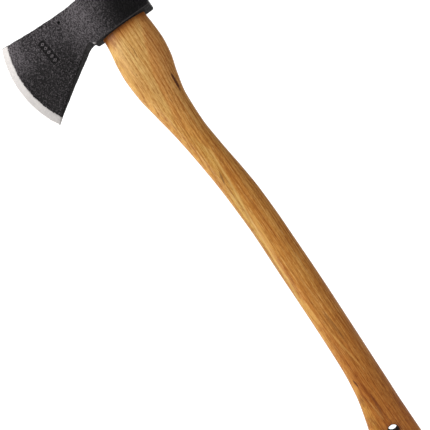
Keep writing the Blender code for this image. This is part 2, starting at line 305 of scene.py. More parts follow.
# ---- node trees -------------------------------------------------------------------------------
class Tree:
    """Short calls for building a material's nodes.

    `mm` is the place on the object in millimetres, and `x`, `y` and `z` are its parts.
    """

    def __init__(self, name):
        self.material = bpy.data.materials.new(name)
        self.material.use_nodes = True
        self.nodes = self.material.node_tree.nodes
        self.links = self.material.node_tree.links
        self.shader = self.nodes["Principled BSDF"]
        coordinate = self.nodes.new("ShaderNodeTexCoord")
        self.mm = self.vector("MULTIPLY", coordinate.outputs["Object"], (1000.0, 1000.0, 1000.0))
        self.x, self.y, self.z = self.parts(self.mm)

    def put(self, socket, value):
        if isinstance(value, bpy.types.NodeSocket):
            self.links.new(value, socket)
        elif socket.type == "RGBA":
            socket.default_value = (*value, 1.0)
        else:
            socket.default_value = value

    def vector(self, operation, a, b=None):
        node = self.nodes.new("ShaderNodeVectorMath")
        node.operation = operation
        self.put(node.inputs[0], a)
        if b is not None:
            self.put(node.inputs[1], b)
        return node.outputs["Value" if operation in ("DOT_PRODUCT", "LENGTH") else "Vector"]

    def parts(self, vector):
        node = self.nodes.new("ShaderNodeSeparateXYZ")
        self.put(node.inputs[0], vector)
        return node.outputs["X"], node.outputs["Y"], node.outputs["Z"]

    def math(self, operation, a, b=None):
        node = self.nodes.new("ShaderNodeMath")
        node.operation = operation
        self.put(node.inputs[0], a)
        if b is not None:
            self.put(node.inputs[1], b)
        return node.outputs[0]

    def times(self, a, b):
        return self.math("MULTIPLY", a, b)

    def centred(self, value, size):
        """A value of 0 to 1 spread over `size`, with 0.5 at 0."""
        return self.times(self.math("SUBTRACT", value, 0.5), size)

    def between(self, value, low, high, to_low=0.0, to_high=1.0):
        """Smooth ramp of a value from one range to another, held at both ends."""
        node = self.nodes.new("ShaderNodeMapRange")
        node.interpolation_type = "SMOOTHSTEP"
        for name, number in zip(("From Min", "From Max", "To Min", "To Max"),
                                (low, high, to_low, to_high)):
            node.inputs[name].default_value = number
        self.put(node.inputs["Value"], value)
        return node.outputs["Result"]

    def noise(self, vector, scale, detail=2.0, roughness=0.5):
        node = self.nodes.new("ShaderNodeTexNoise")
        self.put(node.inputs["Vector"], vector)
        node.inputs["Scale"].default_value = scale
        node.inputs["Detail"].default_value = detail
        node.inputs["Roughness"].default_value = roughness
        return node.outputs["Fac"]

    def grain(self, per_mm, detail, roughness):
        """Noise with its own number of features per mm along each axis."""
        return self.noise(self.vector("MULTIPLY", self.mm, per_mm), 1.0, detail, roughness)

    def mix(self, factor, a, b, blend="MIX"):
        """Colour between a and b."""
        node = self.nodes.new("ShaderNodeMix")
        node.data_type = "RGBA"
        node.blend_type = blend
        node.clamp_factor = True
        self.put(node.inputs["Factor"], factor)
        self.put(node.inputs["A"], a)
        self.put(node.inputs["B"], b)
        return node.outputs["Result"]

    def tint(self, factor, colour, tone):
        """The colour times the tone, where the factor is 1."""
        return self.mix(factor, colour, tone, "MULTIPLY")

    def ramp(self, factor, stops):
        node = self.nodes.new("ShaderNodeValToRGB")
        elements = node.color_ramp.elements
        while len(elements) < len(stops):
            elements.new(0.5)
        for element, (position, colour) in zip(elements, stops):
            element.position = position
            element.color = (*colour, 1.0)
        self.put(node.inputs["Fac"], factor)
        return node.outputs["Color"]

    def blend(self, factor, a, b):
        """Number between a and b."""
        node = self.nodes.new("ShaderNodeMix")
        self.put(node.inputs["Factor"], factor)
        self.put(node.inputs["A"], a)
        self.put(node.inputs["B"], b)
        return node.outputs["Result"]

    def attribute(self, name):
        node = self.nodes.new("ShaderNodeAttribute")
        node.attribute_name = name
        return node.outputs["Fac"]

    def from_axis(self, x, z):
        """Distance from a line along Y."""
        offset = self.vector("SUBTRACT", self.mm, (x, 0.0, z))
        return self.vector("LENGTH", self.vector("MULTIPLY", offset, (1.0, 0.0, 1.0)))

    def bump(self, height, distance_mm):
        node = self.nodes.new("ShaderNodeBump")
        node.inputs["Strength"].default_value = 1.0
        node.inputs["Distance"].default_value = distance_mm * MM
        self.put(node.inputs["Height"], height)
        return node.outputs["Normal"]

    def finish(self, **sockets):
        for name, value in sockets.items():
            self.put(self.shader.inputs[name.replace("_", " ")], value)
        return self.material


# ---- the head's material ----------------------------------------------------------------------
COAT = ((0.0060, 0.0048, 0.0052), (0.0130, 0.0108, 0.0117))     # two tones in soft clouds
# painted sheen along the top of the head
COAT_TOP_SHEEN = (0.050, 0.044, 0.048)
COAT_SHEEN = (0.145, 0.129, 0.138)                              # painted sheen on the front of the eye and on the toe
COAT_LOW_SHADE = (0.0045, 0.0037, 0.0040)                             # painted shade on the lower half of the blade
# painted shade in the crinkle's valleys
COAT_VALLEY_SHADE = (0.0035, 0.0030, 0.0032)
COAT_PEAK_GLINT = ((0.064, 0.057, 0.060), (0.142, 0.127, 0.135))      # painted glints on the crinkle's peaks: plain, and brighter in the painted sheen zones
# painted glints in small specks
COAT_GLINT_SPECK = (0.160, 0.144, 0.148)
# painted shade on faces that point down
COAT_UNDERSIDE_SHADE = (0.003, 0.0027, 0.0028)
# painted shade on the rear of the eye's cheeks
COAT_REAR_SHADE = (0.0015, 0.0013, 0.0014)
COAT_SCUFF = (0.085, 0.078, 0.076)
# painted shade on the sunk floor of the stamp
STAMP_FLOOR_SHADE = (0.0030, 0.0026, 0.0028)
STAMP_RUBBED_TONE = (0.150, 0.135, 0.140)
LUG_EDGE_TONE = (0.130, 0.120, 0.122)
CHIP_TONE = (0.420, 0.400, 0.400)
# painted shade: near black in the pit
PIT_SHADE = (0.001, 0.001, 0.001)
STEEL = ((0.32, 0.305, 0.295), (0.41, 0.39, 0.38))
STEEL_PATCH = (0.30, 0.285, 0.28)
STEEL_FRINGE = (0.28, 0.265, 0.26)
STEEL_HONED = (0.62, 0.60, 0.59)
HONED_ROUGHNESS = 0.4
# the two ends of each soft border of the coat's zones; the neck, toe and top zones are painted sheen,
# the lower blade and the eye's rear are painted shade
NECK_FRONT_X, NECK_BACK_X, NECK_Z = (-56.0, -30.0), (-26.0, -4.0), (455.0, 492.0)
TOE_X, TOE_Z = (-95.0, -80.0), (470.0, 500.0)
TOP_Z, TOP_BACK_X = (462.0, 502.0), (-15.0, 10.0)
LOW_SHADE_Z = (430.0, 468.0)
REAR_SHADE_X = (-12.0, 8.0)             # the rear of the eye's cheeks, where shade is painted
LUG_X, LUG_Z = (-40.0, -34.0), (465.0, 463.0)
CHIP_PLACE = (-29.9, -10.5, 460.2)  # knock on the lug's lower corner
GRIND_CENTRE = (-19.0, 0.0, 466.5)  # the scratches point at it, across the ground band
GRIND_RAGGED = 2.4                  # how far the coat's torn edge wanders, from end to end


def coat_colour(t, grain, underside_shade, behind):
    """Black crinkled coat, worn on the corners, with painted sheen along the top, on the neck and the
    toe, painted glints on its crinkle, and painted shade low on the blade, underneath, behind the eye,
    in the stamp and in the pit.
    """
    cloud = t.noise(t.mm, 0.05, 3.0, 0.55)
    # small specks for painted glints
    glint_specks = t.noise(t.mm, 0.70, 1.0, 0.5)
    wear, sunk = t.attribute("wear"), t.attribute("sunk")
    scuffs = t.times(wear, t.noise(t.mm, 0.5, 3.0, 0.7))
    # painted sheen on the neck and front of the eye, on the toe and along the top, where the light
    # falls
    neck = t.times(t.between(t.x, *NECK_FRONT_X), t.between(t.x, *NECK_BACK_X, 1.0, 0.0))
    neck = t.times(neck, t.between(t.z, *NECK_Z, 0.45, 1.0))
    toe = t.times(t.between(t.x, *TOE_X, 1.0, 0.0), t.between(t.z, *TOE_Z))
    upper = t.times(t.between(t.z, *TOP_Z), t.between(t.x, *TOP_BACK_X, 1.0, 0.5))
    top_sheen = t.math("MAXIMUM", upper, neck)
    top_sheen = t.times(top_sheen, t.between(cloud, 0.30, 0.60, 0.65, 1.0))
    # painted sheen on the neck and the toe
    light = t.math("MAXIMUM", t.times(neck, 0.64), t.times(toe, 0.95))

    coat = t.mix(t.between(cloud, 0.35, 0.65), *COAT)
    coat = t.mix(top_sheen, coat, COAT_TOP_SHEEN)
    coat = t.mix(light, coat, COAT_SHEEN)
    # painted shade: the coat darker down the lower blade
    coat = t.mix(t.between(t.z, *LOW_SHADE_Z, 0.5, 0.0), coat, COAT_LOW_SHADE)
    # painted shade in the crinkle's valleys, painted glints on its peaks and in specks
    coat = t.mix(t.between(grain, 0.40, 0.54, 0.8, 0.0), coat, COAT_VALLEY_SHADE)
    peak_glint = t.mix(t.math("MAXIMUM", top_sheen, neck), *COAT_PEAK_GLINT)
    coat = t.mix(t.between(grain, 0.50, 0.68), coat, peak_glint)
    coat = t.mix(t.between(glint_specks, 0.64, 0.76, 0.0, 0.42), coat, COAT_GLINT_SPECK)
    # painted shade underneath and on the eye's rear cheeks
    coat = t.mix(t.times(underside_shade, 0.82), coat, COAT_UNDERSIDE_SHADE)
    coat = t.mix(behind, coat, COAT_REAR_SHADE)
    coat = t.mix(t.between(scuffs, 0.45, 0.70, 0.0, 0.4), coat, COAT_SCUFF)

    # painted shade on the stamp's sunk floor
    coat = t.mix(t.between(sunk, 0.35, 0.8, 0.0, 0.9), coat, STAMP_FLOOR_SHADE)
    rubbed = t.times(t.between(sunk, 0.03, 0.12), t.between(sunk, 0.50, 0.25))
    coat = t.mix(t.times(rubbed, 0.85), coat, STAMP_RUBBED_TONE)
    lug_edge = t.times(t.between(t.z, *LUG_Z), wear)
    lug_edge = t.times(lug_edge, t.between(t.x, *LUG_X))
    coat = t.mix(t.times(lug_edge, 0.55), coat, LUG_EDGE_TONE)
    chip = t.vector("LENGTH", t.vector("SUBTRACT", t.mm, CHIP_PLACE))
    chip = t.math("ADD", chip, t.centred(grain, 5.0))
    coat = t.mix(t.between(chip, 2.0, 2.8, 0.80, 0.0), coat, CHIP_TONE)
    # painted shade in the pit on the -Y cheek
    pit = t.between(t.from_axis(PIT_X, PIT_Z), PIT_RADIUS - 0.4, PIT_RADIUS, 1.0, 0.0)
    return t.mix(t.times(pit, t.between(t.y, -3.0, 0.0, 1.0, 0.0)), coat, PIT_SHADE)


def grinding_scratches(t):
    """Noise drawn out towards GRIND_CENTRE: close together along the edge, long across the band."""
    offset = t.vector("SUBTRACT", t.mm, GRIND_CENTRE)
    x, y, z = t.parts(offset)
    join = t.nodes.new("ShaderNodeCombineXYZ")
    t.put(join.inputs[0], t.times(t.math("ARCTAN2", z, t.times(x, -1.0)), 320.0))
    t.put(join.inputs[1], t.times(t.vector("LENGTH", offset), 0.16))
    t.put(join.inputs[2], t.times(y, 0.3))
    return t.noise(join.outputs[0], 1.0, 3.0, 0.6)


def head_material():
    """Black crinkled coat on a forging, ground bare along the edge, with a honed strip at the edge.

    The mesh carries `bevel`, the distance in mm past the grind line, `wear` on its corners, and
    `sunk`, the depth in the stamp from 0 to 1.
    """
    t = Tree("coated_forging")
    bevel = t.attribute("bevel")
    line = t.math("ADD", bevel, t.centred(t.noise(t.mm, 0.55, 3.0, 0.65), GRIND_RAGGED))
    ground = t.between(line, -0.06, 0.06)
    fringe = t.between(line, 0.0, 0.9, 1.0, 0.0)
    honed_from = GROUND_WIDTH - HONED_WIDTH
    honed = t.between(bevel, honed_from - 0.05, honed_from + 0.05)

    crinkle = t.noise(t.mm, 0.40, 2.0, 0.5)
    grain = t.noise(t.mm, 0.80, 3.0, 0.6)
    _, side, up = t.parts(t.nodes.new("ShaderNodeNewGeometry").outputs["Normal"])
    # painted shade on faces that point down, a little weaker towards the poll
    underside_shade = t.times(t.between(up, -0.65, -0.30, 1.0, 0.0), t.between(t.x, 0.0, 14.0, 1.0, 0.92))
    cheek = t.between(t.math("ABSOLUTE", side), 0.20, 0.45)
    # painted shade on the rear of the eye's cheeks, on both sides
    behind = t.times(t.between(t.x, *REAR_SHADE_X, 0.0, 0.88), cheek)
    coat = coat_colour(t, grain, underside_shade, behind)

    scratches = grinding_scratches(t)
    patches = t.noise(t.mm, 0.12, 3.0, 0.5)
    steel = t.mix(t.between(scratches, 0.35, 0.7), *STEEL)
    steel = t.mix(t.between(patches, 0.45, 0.75, 0.0, 0.5), steel, STEEL_PATCH)
    steel = t.mix(t.times(fringe, 0.55), steel, STEEL_FRINGE)
    steel = t.mix(honed, steel, STEEL_HONED)

    coat_roughness = t.between(grain, 0.3, 0.7, 0.52, 0.36)
    coat_roughness = t.blend(t.math("MAXIMUM", underside_shade, behind), coat_roughness, 0.90)
    steel_roughness = t.blend(honed, t.between(scratches, 0.3, 0.7, 0.52, 0.62), HONED_ROUGHNESS)
    coat_height = t.math("ADD", t.math("ADD", t.times(crinkle, 0.55), t.times(grain, 0.45)), 0.15)
    height = t.blend(ground, coat_height, t.times(scratches, 0.03))
    return t.finish(Base_Color=t.mix(ground, coat, steel), Metallic=ground,
                    Roughness=t.blend(ground, coat_roughness, steel_roughness),
                    Specular_IOR_Level=0.14, Normal=t.bump(height, 3.0))


# ---- the handle's material --------------------------------------------------------------------
RING_STOPS = (
    (0.00, (0.275, 0.096, 0.016)),
    (0.12, (0.345, 0.130, 0.021)),
    (0.40, (0.430, 0.176, 0.032)),
    (0.75, (0.485, 0.208, 0.042)),
    (0.92, (0.365, 0.138, 0.022)),
    (1.00, (0.275, 0.096, 0.016)),
)
RING_DIRECTION = (-0.66, -0.75, 0.012)
RING_SPACING = 2.3
BROAD_TONE = (0.540, 0.278, 0.064)
CLOUD_TONE = (0.330, 0.112, 0.016)
FIBRE_DARK, FIBRE_LIGHT = (0.275, 0.082, 0.014), (0.590, 0.330, 0.105)
PORE_TONE = (0.185, 0.050, 0.009)
GLINT_TONE = (0.590, 0.340, 0.105)
BORDER_TONE = (0.680, 0.440, 0.150)
PALE_TONE, MINERAL_TONE = (0.610, 0.350, 0.095), (0.075, 0.020, 0.008)
# painted shadow of the head on the wood just under it
UNDER_HEAD_SHADOW_TONE = (0.110, 0.030, 0.007)
# painted shade round the lanyard hole's mouths
HOLE_SHADE_TONE = (0.110, 0.030, 0.008)
# painted shade: near black inside the lanyard hole
BORE_SHADE_TONE = (0.022, 0.008, 0.004)
# tints: the colour is multiplied by these
# painted light towards the head, painted shade towards the butt
HEAD_END_LIGHT_TINT, LOW_END_SHADE_TINT = (1.31, 1.62, 2.55), (0.80, 0.72, 0.58)
FLECK_DARK, FLECK_LIGHT = (0.78, 0.65, 0.52), (1.15, 1.22, 1.32)
LINE_DARK, LINE_LIGHT = (0.70, 0.60, 0.48), (1.20, 1.28, 1.40)
# the heartwood tint is also painted shade on the poll side near the butt
SAPWOOD_TINT, HEARTWOOD_AND_SHADE_TINT = (0.93, 1.14, 1.24), (0.72, 0.58, 0.50)
# painted shade: reddish darkening of the wood under the head
UNDER_HEAD_SHADE_TINT = (0.68, 0.42, 0.24)

# heights between which each look of the wood fades in or out, among them the painted light at the head
# end, the painted shade at the low end and the heartwood that is partly painted shade near the butt
HEAD_END_Z, LOW_END_Z, LINED_Z = (330.0, 440.0), (45.0, 150.0), (130.0, 240.0)
SAP_LOW_Z, SAP_HIGH_Z = (120.0, 200.0), (270.0, 300.0)
HEART_AND_SHADE_LOW_Z, HEART_HIGH_Z = (50.0, 215.0), (350.0, 420.0)
BAND_LOW_Z, BAND_TOP_Z = (170.0, 200.0), (335.0, 320.0)

# z, x: where the redder heartwood begins, from the butt up; it lies on the poll's side of this line
HEARTWOOD = ((0.0, -15.0), (60.0, -9.0), (150.0, -6.0), (215.0, -3.5), (326.0, 3.0), (362.0, -9.0),
             (406.0, -2.0), (465.0, 18.0), (510.0, 20.0))
HEARTWOOD_SPAN = 60.0             # the reach across the handle that the line's node can hold

# x, z, length, width, lean in degrees, strength: marks in the wood of the -Y side
PALE_STREAKS = (
    (-0.6, 240.0, 62.0, 4.5, 4.0, 0.45),
    (-18.0, 392.0, 30.0, 7.0, 10.0, 0.35),
    (-19.0, 430.0, 46.0, 8.0, 4.0, 0.25),
    (-4.5, 160.0, 40.0, 5.0, -3.0, 0.45),
    (2.5, 118.0, 62.0, 2.2, -8.2, 0.30),
    (-5.2, 57.0, 34.0, 1.6, -5.0, 0.28),
)
MINERAL_STREAKS = (
    (11.0, 394.0, 25.0, 2.4, 6.0, 0.95),
    (-2.8, 301.0, 14.0, 2.2, 11.0, 0.60),
    (-4.0, 434.0, 15.0, 1.0, 8.0, 0.50),
    (-7.0, 85.0, 11.0, 2.0, -7.5, 0.85),
    (5.8, 138.0, 44.0, 4.0, -3.4, 0.35),
    (-2.2, 58.0, 32.0, 2.0, 3.8, 0.45),
)


def streak(t, x, z, length, width, lean):
    """Mask of one streak on the -Y side: a long thin spot with ragged ends along the grain."""
    turned = t.nodes.new("ShaderNodeVectorRotate")
    turned.rotation_type = "Y_AXIS"
    turned.inputs["Angle"].default_value = math.radians(-lean)
    t.put(turned.inputs["Vector"], t.vector("SUBTRACT", t.mm, (x, 0.0, z)))
    ragged = t.grain((1.2, 1.2, 0.35), 3.0, 0.7)
    shape = t.vector("MULTIPLY", turned.outputs[0], (2.0 / width, 0.0, 2.0 / length))
    reach = t.math("ADD", t.vector("LENGTH", shape), t.times(ragged, 1.1))
    return t.times(t.between(reach, 1.05, 1.55, 1.0, 0.0), t.between(t.y, -4.0, 0.0, 1.0, 0.0))


def streaked(t, colour, streaks, tone):
    marks = 0.0
    for *shape, strength in streaks:
        marks = t.math("MAXIMUM", marks, t.times(streak(t, *shape), strength))
    return t.mix(marks, colour, tone)


def two_woods(t, colour, flow):
    """Paler sapwood in front of the HEARTWOOD line, redder wood behind it that near the butt is also
    painted shade, a pale band along it.
    """
    top = HEARTWOOD[-1][0]
    border = t.ramp(t.math("DIVIDE", t.z, top),
                    [(z / top, (0.5 + x / HEARTWOOD_SPAN,) * 3) for z, x in HEARTWOOD])
    inward = t.math("SUBTRACT", t.x, t.centred(border, HEARTWOOD_SPAN))
    inward = t.math("ADD", inward, t.centred(flow, 5.0))
    sap_strength = t.times(t.between(t.z, *SAP_LOW_Z, 0.4, 1.0), t.between(t.z, *SAP_HIGH_Z, 1.0, 0.50))
    sapwood = t.times(t.between(inward, -1.6, 0.8, 1.0, 0.0), sap_strength)
    colour = t.tint(sapwood, colour, SAPWOOD_TINT)
    # redder heartwood; near the butt it is also painted shade on the poll side
    heart_and_shade_strength = t.math("MAXIMUM", t.between(t.z, *HEART_AND_SHADE_LOW_Z, 0.85, 0.04),
                            t.between(t.z, *HEART_HIGH_Z, 0.0, 0.42))
    colour = t.tint(t.times(heart_and_shade_strength, t.between(inward, -1.0, 3.0)), colour, HEARTWOOD_AND_SHADE_TINT)
    band = t.between(t.math("ABSOLUTE", t.math("ADD", inward, 0.8)), 0.3, 1.2, 0.40, 0.0)
    band = t.times(band, t.between(t.z, *BAND_TOP_Z))
    return t.mix(t.times(band, t.between(t.z, *BAND_LOW_Z)), colour, BORDER_TONE)


def hickory_material():
    """Clear-lacquered hickory: rings cut at a slant, fibres, flecks and pores, sapwood and heartwood,
    pale and mineral streaks, painted light near the head, painted shade near the butt, and painted
    shade under the head, round the hole and inside it."""
    t = Tree("hickory")
    wander = t.grain((0.030, 0.030, 0.0042), 2.0, 0.45)
    flow = t.grain((0.11, 0.11, 0.0085), 2.0, 0.5)
    across = t.vector("DOT_PRODUCT", t.mm, RING_DIRECTION)
    ring_place = t.math("ADD", across, t.times(wander, 15.0))
    ring_place = t.math("ADD", ring_place, t.times(flow, 3.2))
    ring = t.math("FRACT", t.math("DIVIDE", ring_place, RING_SPACING))
    fibre = t.grain((1.15, 1.15, 0.032), 4.0, 0.66)
    broad = t.grain((0.15, 0.15, 0.0060), 3.0, 0.55)
    cloud = t.noise(t.mm, 0.020, 2.0, 0.5)
    colour = t.mix(t.between(broad, 0.40, 0.66, 0.0, 0.58), t.ramp(ring, RING_STOPS), BROAD_TONE)
    colour = t.mix(t.between(cloud, 0.40, 0.68, 0.0, 0.45), colour, CLOUD_TONE)
    # painted light: the wood lighter and paler towards the head
    colour = t.tint(t.between(t.z, *HEAD_END_Z), colour, HEAD_END_LIGHT_TINT)
    colour = t.mix(t.between(fibre, 0.32, 0.52, 0.64, 0.0), colour, FIBRE_DARK)
    colour = t.mix(t.between(fibre, 0.52, 0.68, 0.0, 0.52), colour, FIBRE_LIGHT)

    flecks = t.grain((0.85, 0.85, 0.30), 3.0, 0.75)
    colour = t.tint(t.between(flecks, 0.36, 0.50, 0.68, 0.0), colour, FLECK_DARK)
    colour = t.tint(t.between(flecks, 0.50, 0.64, 0.0, 0.60), colour, FLECK_LIGHT)
    lines = t.grain((1.7, 1.7, 0.05), 2.0, 0.6)
    lined = t.between(t.z, *LINED_Z, 0.75, 0.0)
    colour = t.tint(t.times(lined, t.between(lines, 0.36, 0.50, 1.0, 0.0)), colour, LINE_DARK)
    colour = t.tint(t.times(lined, t.between(lines, 0.52, 0.66)), colour, LINE_LIGHT)
    pores = t.grain((1.7, 1.7, 0.16), 1.0, 0.4)
    early = t.between(t.math("PINGPONG", ring, 0.5), 0.0, 0.25, 1.0, 0.45)
    pore_mask = t.times(t.between(pores, 0.58, 0.66), early)
    colour = t.mix(t.times(pore_mask, 0.58), colour, PORE_TONE)
    glints = t.grain((1.5, 1.5, 0.07), 1.0, 0.4)
    colour = t.mix(t.between(glints, 0.60, 0.70, 0.0, 0.40), colour, GLINT_TONE)

    # painted shade: the wood darker towards the butt
    colour = t.tint(t.between(t.z, *LOW_END_Z, 1.0, 0.0), colour, LOW_END_SHADE_TINT)
    colour = two_woods(t, colour, flow)
    colour = streaked(t, colour, PALE_STREAKS, PALE_TONE)
    colour = streaked(t, colour, MINERAL_STREAKS, MINERAL_TONE)

    # painted shade and shadow under the head, reaching further down on the front
    under_head = t.math("SUBTRACT", t.z, t.times(t.x, 0.12))
    colour = t.tint(t.between(under_head, EYE_BOTTOM_Z - 13.0, EYE_BOTTOM_Z), colour, UNDER_HEAD_SHADE_TINT)
    shaded = t.between(under_head, EYE_BOTTOM_Z - 5.0, EYE_BOTTOM_Z + 2.0, 0.0, 0.80)
    colour = t.mix(shaded, colour, UNDER_HEAD_SHADOW_TONE)
    # painted shade round the hole's mouths and near black inside it
    around = t.from_axis(LANYARD_X, LANYARD_Z)
    hole_shade = t.between(around, LANYARD_RADIUS, LANYARD_RADIUS + 5.5, 0.45, 0.0)
    colour = t.mix(hole_shade, colour, HOLE_SHADE_TONE)
    bore_shade = t.between(around, LANYARD_RADIUS + 0.25, LANYARD_RADIUS + 1.3, 1.0, 0.0)
    colour = t.mix(t.times(bore_shade, 0.93), colour, BORE_SHADE_TONE)

    height = t.math("SUBTRACT", t.times(fibre, 0.5), t.times(pore_mask, 0.5))
    return t.finish(Base_Color=colour, Normal=t.bump(height, 0.07), Specular_IOR_Level=0.06,
                    Roughness=t.blend(bore_shade, t.between(fibre, 0.3, 0.7, 0.42, 0.32), 0.85),
                    Coat_Weight=t.blend(bore_shade, 0.13, 0.0), Coat_Roughness=0.20)


# ---- the wedges' materials --------------------------------------------------------------------
POPLAR_STOPS = (
    (0.0, (0.300, 0.175, 0.080)),
    (0.3, (0.470, 0.310, 0.160)),
    (0.9, (0.520, 0.350, 0.190)),
    (1.0, (0.300, 0.175, 0.080)),
)
POPLAR_PORE_TONE = (0.140, 0.080, 0.040)
POPLAR_RING_SPACING = 1.6
WEDGE_STEEL = ((0.42, 0.40, 0.38), (0.20, 0.185, 0.175))        # clean and scaled


def wedge_material():
    """Sawn end of the poplar wedge: rings, pores and a little dirt."""
    t = Tree("wedge_wood")
    across = t.vector("DOT_PRODUCT", t.mm, (0.9, 0.4, 0.1))
    ring_place = t.math("ADD", across, t.times(t.noise(t.mm, 0.1), 4.0))
    ring = t.math("FRACT", t.math("DIVIDE", ring_place, POPLAR_RING_SPACING))
    pores = t.noise(t.mm, 3.0, 2.0, 0.6)
    colour = t.ramp(ring, POPLAR_STOPS)
    colour = t.mix(t.between(pores, 0.60, 0.68, 0.0, 0.7), colour, POPLAR_PORE_TONE)
    return t.finish(Base_Color=colour, Roughness=0.62, Normal=t.bump(pores, 0.12))


def wedge_steel_material():
    """Mill-finished steel, darker where the scale is left."""
    t = Tree("wedge_steel")
    scale = t.noise(t.mm, 0.6, 4.0, 0.62)
    fine = t.noise(t.mm, 4.0, 2.0, 0.6)
    height = t.math("ADD", scale, t.times(fine, 0.4))
    return t.finish(Base_Color=t.mix(t.between(scale, 0.40, 0.62), *WEDGE_STEEL), Metallic=1.0,
                    Roughness=t.between(scale, 0.3, 0.7, 0.34, 0.55), Normal=t.bump(height, 0.10))


# ---- head -------------------------------------------------------------------------------------
def head_places():
    """Station numbers where the head's mesh has a ring, closer together over the stamp."""
    tops = [s[0] for s in HEAD_STATIONS]
    places = [0.0]
    for k, (x0, x1) in enumerate(zip(tops, tops[1:])):
        near_stamp = x1 < STAMP_X + STAMP_REACH and x0 > STAMP_X - STAMP_REACH
        count = max(2, math.ceil((x0 - x1) / (STAMP_STEP if near_stamp else HEAD_STEP)))
        places += [k + (i + 1) / count for i in range(count)]
    return np.array(places)


def head_sections():
    """Stations of the fine mesh and each one's distance past the grind line.

    They run smoothly to the grind line, then in flat bevels to the edge.
    """
    columns = np.array(HEAD_STATIONS).T
    places = head_places()
    body = np.stack([monotone(np.arange(len(c)), c, places) for c in columns], 1)
    grind, edge = np.array(HEAD_STATIONS[-1]), np.array(EDGE_STATION)
    honed_from = GROUND_WIDTH - HONED_WIDTH
    past = np.concatenate([np.arange(0.5, honed_from, HEAD_STEP),
                           [honed_from, GROUND_WIDTH - HONED_WIDTH / 2.0, GROUND_WIDTH]])
    bevels = grind + (edge - grind) * (past / GROUND_WIDTH)[:, None]
    bevels[:, 5] = np.interp(past, (0.0, honed_from, GROUND_WIDTH),
                             (GRIND_HALF, HONED_HALF, EDGE_HALF))
    before = np.hypot(*(body[:, :2] - body[-1, :2]).T)
    return np.vstack([body, bevels]), np.concatenate([-before, past])


def row_heights():
    """Where the rows lie between top (0) and bottom (1): closer together over the stamp."""
    edge = 0.06 * (1.0 - np.cos(np.linspace(0.0, math.pi / 2.0, 10)))
    upper = np.linspace(edge[-1], STAMP_ROWS[0], 11)
    dense = np.linspace(*STAMP_ROWS, 78)
    lower = np.linspace(STAMP_ROWS[1], 1.0 - edge[-1], 30)
    return np.concatenate([edge, upper[1:], dense[1:], lower[1:], (1.0 - edge[::-1])[1:]])


def section_grid(station, heights, widths):
    """Points of one section as a grid: heights down it, widths (-1 to 1) across it."""
    top_x, top_z, bottom_x, bottom_z, bow, half = station
    top, bottom = np.array([top_x, top_z]), np.array([bottom_x, bottom_z])
    chord = np.linalg.norm(bottom - top)
    along = (bottom - top) / chord
    outward = np.array([along[1], -along[0]])
    if outward[0] > 0.0:
        outward = -outward
    v, w = np.meshgrid(heights * chord, widths * half, indexing="ij")
    radius = min(CORNER_RADIUS, 0.6 * half)
    inner_v = np.clip(v, radius, chord - radius)
    inner_w = np.clip(w, radius - half, half - radius)
    dv, dw = v - inner_v, w - inner_w
    square, reach = np.maximum(np.abs(dv), np.abs(dw)), np.hypot(dv, dw)
    scale = np.where(reach > 1e-9, square / np.maximum(reach, 1e-9), 1.0)
    v, w = inner_v + dv * scale, inner_w + dw * scale
    t = v / chord
    if bow > 1e-6:
        arc = (chord * chord / 4.0 + bow * bow) / (2.0 * bow)
        offset = np.sqrt(arc * arc - (chord * (t - 0.5)) ** 2) - (arc - bow)
    else:
        offset = np.zeros_like(t)
    x = top[0] + along[0] * v + outward[0] * offset
    z = top[1] + along[1] * v + outward[1] * offset
    return np.stack([x, w, z], -1)


def head_mesh():
    """The forging without its eye: a skin over the sections, and a grid on both of its ends."""
    sections, past_grind = head_sections()
    heights = row_heights()
    widths = np.sin(np.linspace(-math.pi / 2.0, math.pi / 2.0, 31))
    rows, cols = len(heights), len(widths)
    rim = [(i, 0) for i in range(rows)] + [(rows - 1, j) for j in range(1, cols)]
    rim += [(i, cols - 1) for i in range(rows - 2, -1, -1)]
    rim += [(0, j) for j in range(cols - 2, 0, -1)]
    rim_i, rim_j = np.array(rim).T
    points, faces = skin([section_grid(s, heights, widths)[rim_i, rim_j] for s in sections])

    on_rim = {cell: k for k, cell in enumerate(rim)}
    bevel = list(past_grind.repeat(len(rim)))
    for ring in (0, len(sections) - 1):
        grid = section_grid(sections[ring], heights, widths)
        numbers = np.zeros((rows, cols), int)
        for cell in np.ndindex(rows, cols):
            if cell in on_rim:
                numbers[cell] = ring * len(rim) + on_rim[cell]
            else:
                numbers[cell] = len(points)
                points.append(grid[cell])
                bevel.append(past_grind[ring])
        corners = (numbers[:-1, :-1], numbers[:-1, 1:], numbers[1:, 1:], numbers[1:, :-1])
        faces += np.stack(corners, -1).reshape(-1, 4).tolist()
    head = new_object("axe_head_forging", points, faces)
    float_attribute(head.data, "bevel", bevel)
    return face_out(head)


def oval(z, front, back, half):
    """Superellipse at height z."""
    angle = math.tau * (np.arange(OVAL_SIDES) + 0.5) / OVAL_SIDES
    c, s = np.cos(angle), np.sin(angle)
    power = 2.0 / SECTION_POWER
    x = (front + back) / 2.0 - (back - front) / 2.0 * np.sign(c) * np.abs(c) ** power
    y = -half * np.sign(s) * np.abs(s) ** power
    return np.stack([x, y, np.full(OVAL_SIDES, z)], 1)


def handle_sizes(heights):
    """Front x, back x and half thickness at each height."""
    knots, *columns = zip(*HANDLE_STATIONS)
    return np.stack([monotone(knots, column, heights) for column in columns], 1)


def solid_from_rings(name, rings):
    points, faces = skin(rings)
    count = len(rings[0])
    faces.append(tuple(range(count)))
    faces.append(tuple(range(len(points) - count, len(points))))
    return face_out(new_object(name, points, faces))


